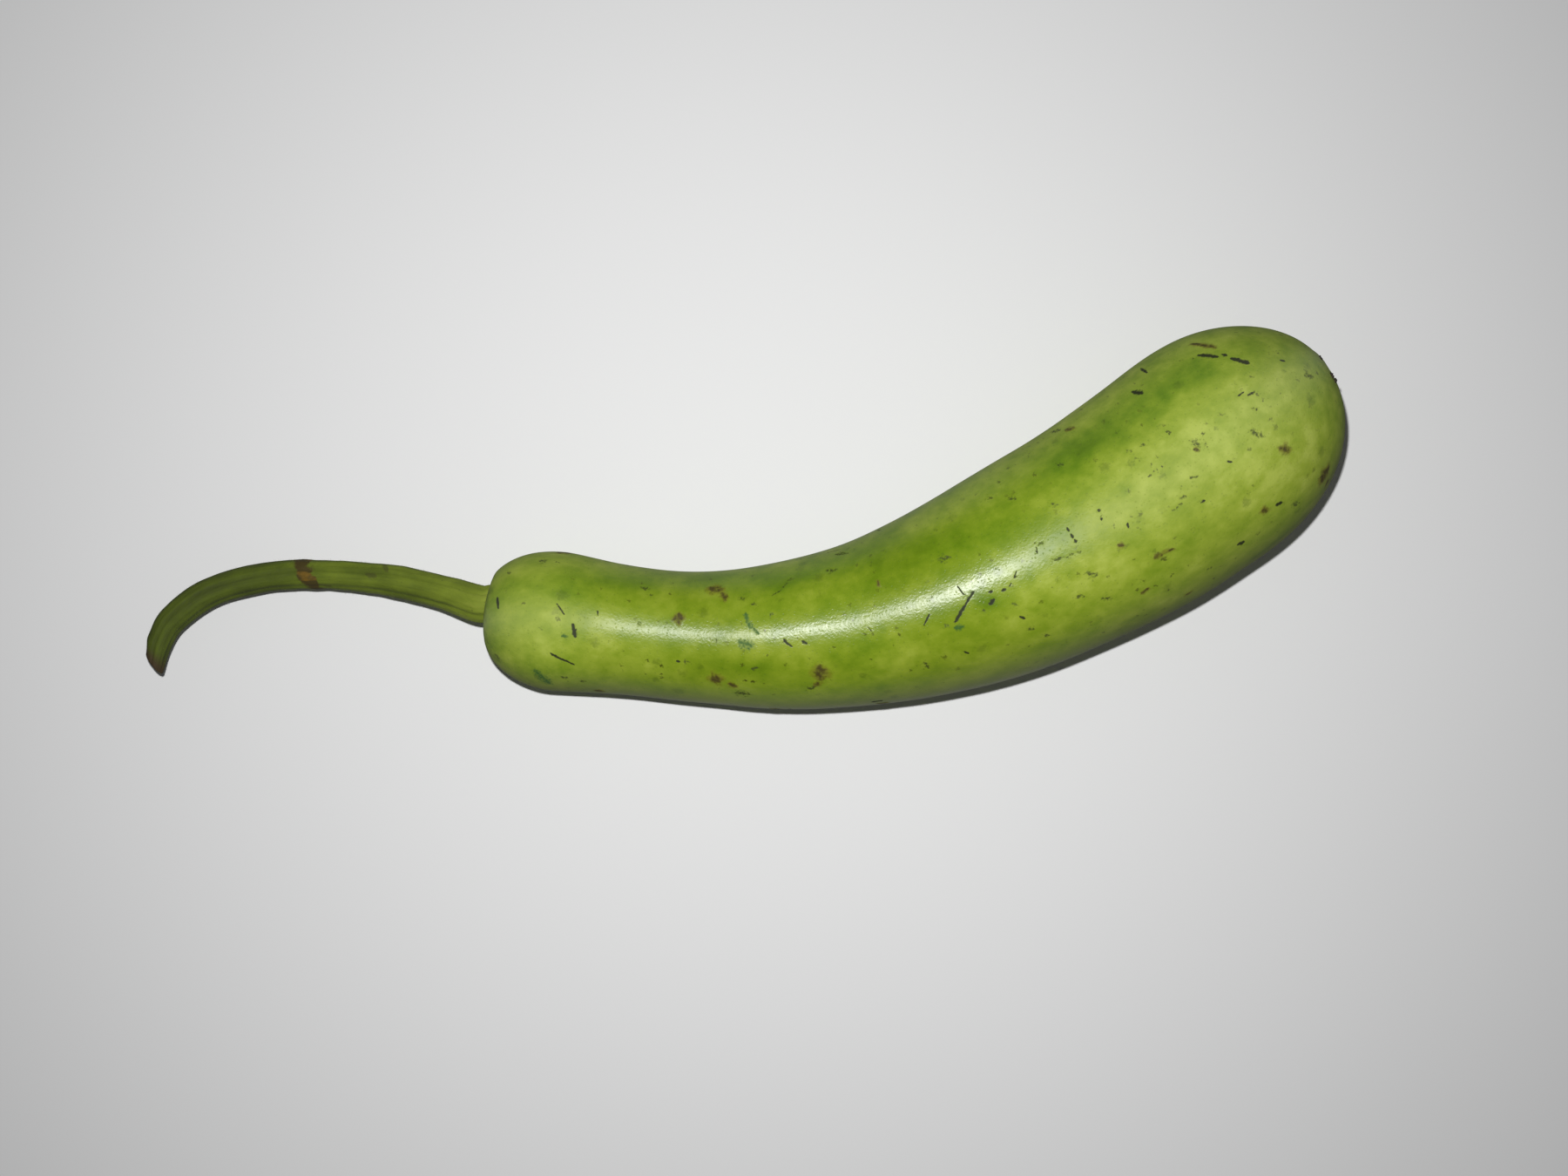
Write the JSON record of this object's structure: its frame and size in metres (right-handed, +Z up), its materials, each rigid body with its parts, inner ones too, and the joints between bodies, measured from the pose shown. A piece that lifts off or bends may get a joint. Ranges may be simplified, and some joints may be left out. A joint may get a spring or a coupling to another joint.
{
  "type": "bottle gourd",
  "caption": "Long bottle gourd lying on its side: a bent club-shaped fruit, thick at its blossom end, with the curved ribbed stalk that it grew on.",
  "frame": {"origin": "on the surface that the gourd lies on, under the middle of its outline seen from above", "axes": "+X runs along the gourd, from the cut end of the stalk to the blossom end; +Y runs level across it; +Z points up"},
  "size_m": [0.4224, 0.1338, 0.0792],
  "materials": {
    "fruit_skin": "waxy light green skin, satin to gloss, with fine pores, darker green patches and dried scratches",
    "stalk": "dark green ribbed stalk with short soft hairs, a brown ring and a dried brown cut end"
  },
  "bodies": {
    "root": {"fruit": "fruit_skin", "stalk": "stalk"}
  },
  "joints": []
}
